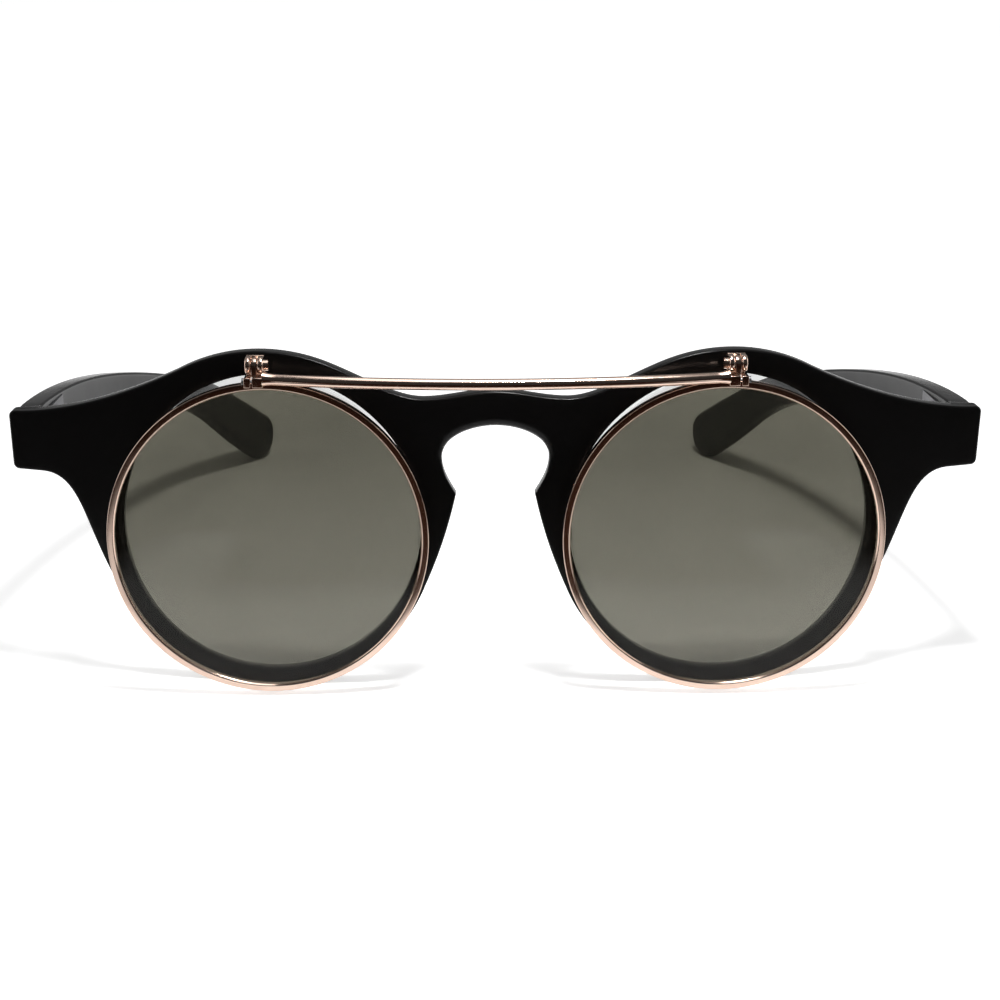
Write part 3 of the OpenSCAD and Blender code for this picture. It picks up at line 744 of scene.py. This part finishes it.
def mid_slope(s):
    """The slope of the temple's middle line, at a length along it."""
    if s < TEMPLE_RUN:
        return slope_0 + s / SIDE_R
    return min(slope_1 + (s - TEMPLE_RUN) / EAR_R, slope_2)


def mid_point(s):
    if s < TEMPLE_RUN:
        return moved(side_c, below(mid_slope(s)), -SIDE_R)
    if s < TEMPLE_RUN + bend_run:
        return moved(bend_c, below(mid_slope(s)), -EAR_R)
    return moved(bend_1, down(slope_2), s - TEMPLE_RUN - bend_run)


def temple_h(t):
    """The temple's height, at a share of its length."""
    waist = 0.62
    if t < waist:
        return ease(END_H, TEMPLE_WAIST, t / waist)
    return ease(TEMPLE_WAIST, TIP_H, (t - waist) / (1 - waist))


def temple_edge(t, up):
    s = t * run_total
    return moved(mid_point(s), below(mid_slope(s)), -up * temple_h(t) / 2)


def temple_soft(y, z):
    """The rounding of the temple's edges, which grows towards the tip."""
    return 0.45 + 1.15 * ramped(y, temple_y, tip_c[0])**2


def build_temple(side, name):
    """A plate curved round the head, with soft edges."""
    steps = 90
    start = 0.1  # how far inside the end piece's height the temple starts, above and below
    put = on_side(side)
    shares = [i / steps for i in range(1, steps + 1)]
    outline = [(temple_y, end_low + start), (temple_y, end_mid_z), (temple_y, end_z - start)]
    outline += [temple_edge(t, 1) for t in shares]
    outline += arc(tip_c, tip_r, 90 - EAR_SLOPE, -90 - EAR_SLOPE, 32)
    outline += [temple_edge(t, -1) for t in shares[::-1]]
    bm = bmesh.new()
    slab(bm, no_twins(outline), [],
         lambda y, z: bow_x + math.sqrt((TEMPLE_R - TEMPLE_T)**2 - (y - bow_y)**2),
         lambda y, z: bow_x + math.sqrt(TEMPLE_R**2 - (y - bow_y)**2),
         temple_soft, temple_soft, lambda y, z, x: put(x, y, z), 1.6, steps=6)
    make(f"temple_arm_{name}", bm, black, f"{name}_temple", [f"temple_{name}"])


def build_bar():
    """A bowed rod that flares a little into the closing blocks."""
    sides = 96
    steps = 96
    flare_run = 1.7
    flare_size = 0.28
    bm = bmesh.new()
    up = Vector((0, -math.sin(bar_tilt), math.cos(bar_tilt)))
    rings = []
    for i in range(steps + 1):
        a = math.asin(plate_in / bar_arc) * (2 * i / steps - 1)
        x = bar_arc * math.sin(a)
        deep = bar_arc - BAR_BOW - bar_arc * math.cos(a)
        mid = (x, bar_y + deep * math.cos(bar_tilt), bar_z + deep * math.sin(bar_tilt))
        out = Vector((math.sin(a), -math.cos(a) * math.cos(bar_tilt), -math.cos(a) * math.sin(bar_tilt)))
        flare = max(0.0, (abs(x) - plate_in + flare_run) / flare_run)
        r = BAR_D / 2 + flare_size * flare**2
        ring = []
        for j in range(sides):
            t = 2 * math.pi * j / sides
            point = [mid[k] + r * (out[k] * math.cos(t) + up[k] * math.sin(t)) for k in range(3)]
            ring.append(bm.verts.new(row(*point)))
        rings.append(ring)
    for a, b in zip(rings, rings[1:]):
        join_rings(bm, a, b)
    bm.faces.new(rings[0])
    bm.faces.new(rings[-1])
    make("bridge_bar", bm, gold, "flip_up", ["flip_bar"])


def dress_cad_nodes():
    """The CAD nodes that stay get their finish by their slots."""
    finishes = {"black_acetate": black, "rose_gold": gold, "steel": steel, "clear_lens": clear,
                "tinted_lens": tinted}
    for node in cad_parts.values():
        if node.hide_render:
            continue
        for s in node.material_slots:
            s.link = "DATA"
            key = next((k for k in finishes if k in (s.material.name if s.material else "")), None)
            s.material = finishes[key] if key else steel
        if not node.material_slots:
            node.data.materials.append(steel)


build_front()
for side, name in ((1, "left"), (-1, "right")):
    build_lenses(side, name)
    build_metal_rim(side, name)
    build_flip_hinge(side, name)
    build_temple(side, name)
build_bar()
dress_cad_nodes()

# Camera, where the photograph was taken from
CAM_PLACE = (-5.3201, -247.0395, 106.1213)  # in the layout's millimetres
CAM_DOWN = math.radians(18.1801)
CAM_LEFT = math.radians(0.1861)
CAM_ROLL = math.radians(0.3)
CAM_LENS = 62.236
CAM_SENSOR = 36.0
CAM_SHIFT = (0.045, 0.0375)

scene = bpy.context.scene
scene.view_settings.view_transform = "Standard"


def place_camera():
    cam = bpy.data.cameras.new("camera")
    cam.lens, cam.sensor_width = CAM_LENS, CAM_SENSOR
    cam.shift_x, cam.shift_y = CAM_SHIFT
    cam.clip_start, cam.clip_end = 0.01, 20.0
    obj = bpy.data.objects.new("camera", cam)
    scene.collection.objects.link(obj)
    level = Vector((-math.sin(CAM_LEFT), math.cos(CAM_LEFT), 0))
    look = level * math.cos(CAM_DOWN) - Vector((0, 0, math.sin(CAM_DOWN)))
    right = look.cross(Vector((0, 0, 1))).normalized()
    up = right.cross(look)
    right, up = (right * math.cos(CAM_ROLL) - up * math.sin(CAM_ROLL),
                 up * math.cos(CAM_ROLL) + right * math.sin(CAM_ROLL))
    obj.matrix_world = Matrix.Translation(row(*CAM_PLACE)) @ Matrix((right, up, -look)).transposed().to_4x4()
    scene.camera = obj


# Floor, in metres
SHEET_Y = -0.099                          # back edge of the dark sheet in front of the object, a painted reflection that only mirrors see
SHEET_SOFT = 0.02                         # width of that edge
# Painted reflection: mirrors see this dark brown in front of the object, where the camera sees white paper
MIRRORED_SHEET_COLOUR = (0.028, 0.013, 0.008)
# Painted reflections of light: two brighter strips in the dark sheet, also seen only by mirrors
STRIP_X = (0.052, 0.064, 0.078, 0.096)    # a strip starts, is whole, is whole still, ends
STRIP_Y = (-0.185, -0.16)                 # a strip's front end starts, is whole
STRIP_LEVEL = 0.65
PAPER = 0.95
FLOOR_GLOW = 0.02                         # near the object, in mirrors and through glass
PAPER_GLOW = 0.64                         # near the object, to the camera
GLOW_FROM = 0.1                           # distance where the glow starts to grow
WIDE_TO = 0.32                            # distance where it is whole, in mirrors and through glass
PAPER_TO = 0.3                            # distance where it is whole, to the camera

# World
ROOM = (0.03, 0.22)                       # mirrored on the camera's side, and behind the object
ROOM_TURN = (-0.5, 0.6)
FILL = 0.03                               # least light from all round


def floor_sheet(tree, path, where):
    """How much of the paper a ray sees. Mirrored rays see a painted reflection: a dark sheet in front of the
    object, which the camera, diffuse light and glass don't see.

    Two brighter strips beside the camera in that sheet paint light reflections on the metal rims' outer
    sides.
    """
    ahead = ramp(tree, where.outputs[1], SHEET_Y - SHEET_SOFT, SHEET_Y, 1.0, 0.0)
    reflected = calc(tree, "SUBTRACT", path.outputs["Is Glossy Ray"], path.outputs["Is Transmission Ray"])
    hidden = calc(tree, "MULTIPLY", ahead, calc(tree, "MAXIMUM", reflected, 0.0))
    aside = calc(tree, "ABSOLUTE", where.outputs[0], 0.0)
    strip = calc(tree, "MULTIPLY", ramp(tree, aside, *STRIP_X[:2], 0.0, 1.0),
                 ramp(tree, aside, *STRIP_X[2:], 1.0, 0.0))
    strip = calc(tree, "MULTIPLY", strip, ramp(tree, where.outputs[1], *STRIP_Y, 0.0, STRIP_LEVEL))
    return calc(tree, "SUBTRACT", 1.0, calc(tree, "MULTIPLY", hidden, calc(tree, "SUBTRACT", 1.0, strip)))


def floor_glow(tree, path, spot):
    """Far off the floor turns white; near the object it keeps the shadow."""
    on_camera = path.outputs["Is Camera Ray"]
    seen = calc(tree, "MAXIMUM", path.outputs["Is Glossy Ray"], path.outputs["Is Transmission Ray"])
    far_off = add(tree, "ShaderNodeVectorMath", operation="LENGTH")
    tree.links.new(spot.outputs["Position"], far_off.inputs[0])
    distance = far_off.outputs["Value"]
    paper_glow = ramp(tree, distance, GLOW_FROM, PAPER_TO, PAPER_GLOW, 1.0)
    wide_glow = ramp(tree, distance, GLOW_FROM, WIDE_TO, FLOOR_GLOW, 1.0)
    near = calc(tree, "MULTIPLY", on_camera, paper_glow)
    far = calc(tree, "MULTIPLY", calc(tree, "MAXIMUM", seen, on_camera), wide_glow)
    return calc(tree, "MAXIMUM", near, far)


def build_floor():
    bm = bmesh.new()
    bmesh.ops.create_grid(bm, x_segments=1, y_segments=1, size=6.0)
    mesh = bpy.data.meshes.new("floor")
    bm.to_mesh(mesh)
    bm.free()
    floor = bpy.data.objects.new("floor", mesh)
    scene.collection.objects.link(floor)
    paper = bpy.data.materials.new("paper")
    paper.use_nodes = True
    tree = paper.node_tree
    tree.nodes.clear()
    path = add(tree, "ShaderNodeLightPath")
    spot = add(tree, "ShaderNodeNewGeometry")
    where = add(tree, "ShaderNodeSeparateXYZ")
    tree.links.new(spot.outputs["Position"], where.inputs[0])
    kept = floor_sheet(tree, path, where)
    diffuse = add(tree, "ShaderNodeBsdfDiffuse")
    # Paper, and for mirrored rays in front of the object the painted reflection of the dark sheet
    tree.links.new(mixed(tree, kept, MIRRORED_SHEET_COLOUR, (PAPER, PAPER, PAPER)), diffuse.inputs[0])
    glow = add(tree, "ShaderNodeEmission", {0: (1, 1, 1, 1)})
    tree.links.new(calc(tree, "MULTIPLY", floor_glow(tree, path, spot), kept), glow.inputs["Strength"])
    both = add(tree, "ShaderNodeAddShader")
    tree.links.new(diffuse.outputs[0], both.inputs[0])
    tree.links.new(glow.outputs[0], both.inputs[1])
    tree.links.new(both.outputs[0], add(tree, "ShaderNodeOutputMaterial").inputs[0])
    mesh.materials.append(paper)


def build_world():
    """White to the camera and through glass, and a dim room, darker on the camera's side, to mirrors."""
    world = bpy.data.worlds.new("studio")
    scene.world = world
    world.use_nodes = True
    tree = world.node_tree
    tree.nodes.clear()
    path = add(tree, "ShaderNodeLightPath")
    split = add(tree, "ShaderNodeSeparateXYZ")
    tree.links.new(add(tree, "ShaderNodeTexCoord").outputs["Generated"], split.inputs[0])
    room = ramp(tree, split.outputs[1], *ROOM_TURN, *ROOM)
    dim = calc(tree, "MAXIMUM", calc(tree, "MULTIPLY", room, path.outputs["Is Glossy Ray"]), FILL)
    white = calc(tree, "MAXIMUM", path.outputs["Is Camera Ray"], path.outputs["Is Transmission Ray"])
    level = calc(tree, "ADD", calc(tree, "MULTIPLY", dim, calc(tree, "SUBTRACT", 1.0, white)), white)
    back = add(tree, "ShaderNodeBackground", {0: (1, 1, 1, 1)})
    tree.links.new(level, back.inputs["Strength"])
    tree.links.new(back.outputs[0], add(tree, "ShaderNodeOutputWorld").inputs[0])


def lamp(name, place, aim, size_x, size_y, watts):
    data = bpy.data.lights.new(name, "AREA")
    data.shape = "RECTANGLE"
    data.size, data.size_y = size_x, size_y
    data.energy = watts
    obj = bpy.data.objects.new(name, data)
    scene.collection.objects.link(obj)
    obj.location = place
    obj.visible_camera = False
    obj.rotation_mode = "QUATERNION"
    obj.rotation_quaternion = (Vector(aim) - Vector(place)).to_track_quat("-Z", "Y")


place_camera()
build_floor()
build_world()

# A small lamp close above casts the temples' shadows; three wide ones keep them soft
lamp("key", row(25, -40, 250), row(10, 10, 0), 0.04, 0.04, 0.57)
lamp("top", (0, -0.05, 0.9), (0, 0, 0), 0.3, 0.9, 1.3)
lamp("left", (-0.8, 0.0, 0.35), (0, 0, 0.02), 0.5, 0.6, 1.2)
lamp("right", (0.8, 0.0, 0.35), (0, 0, 0.02), 0.5, 0.6, 1.2)
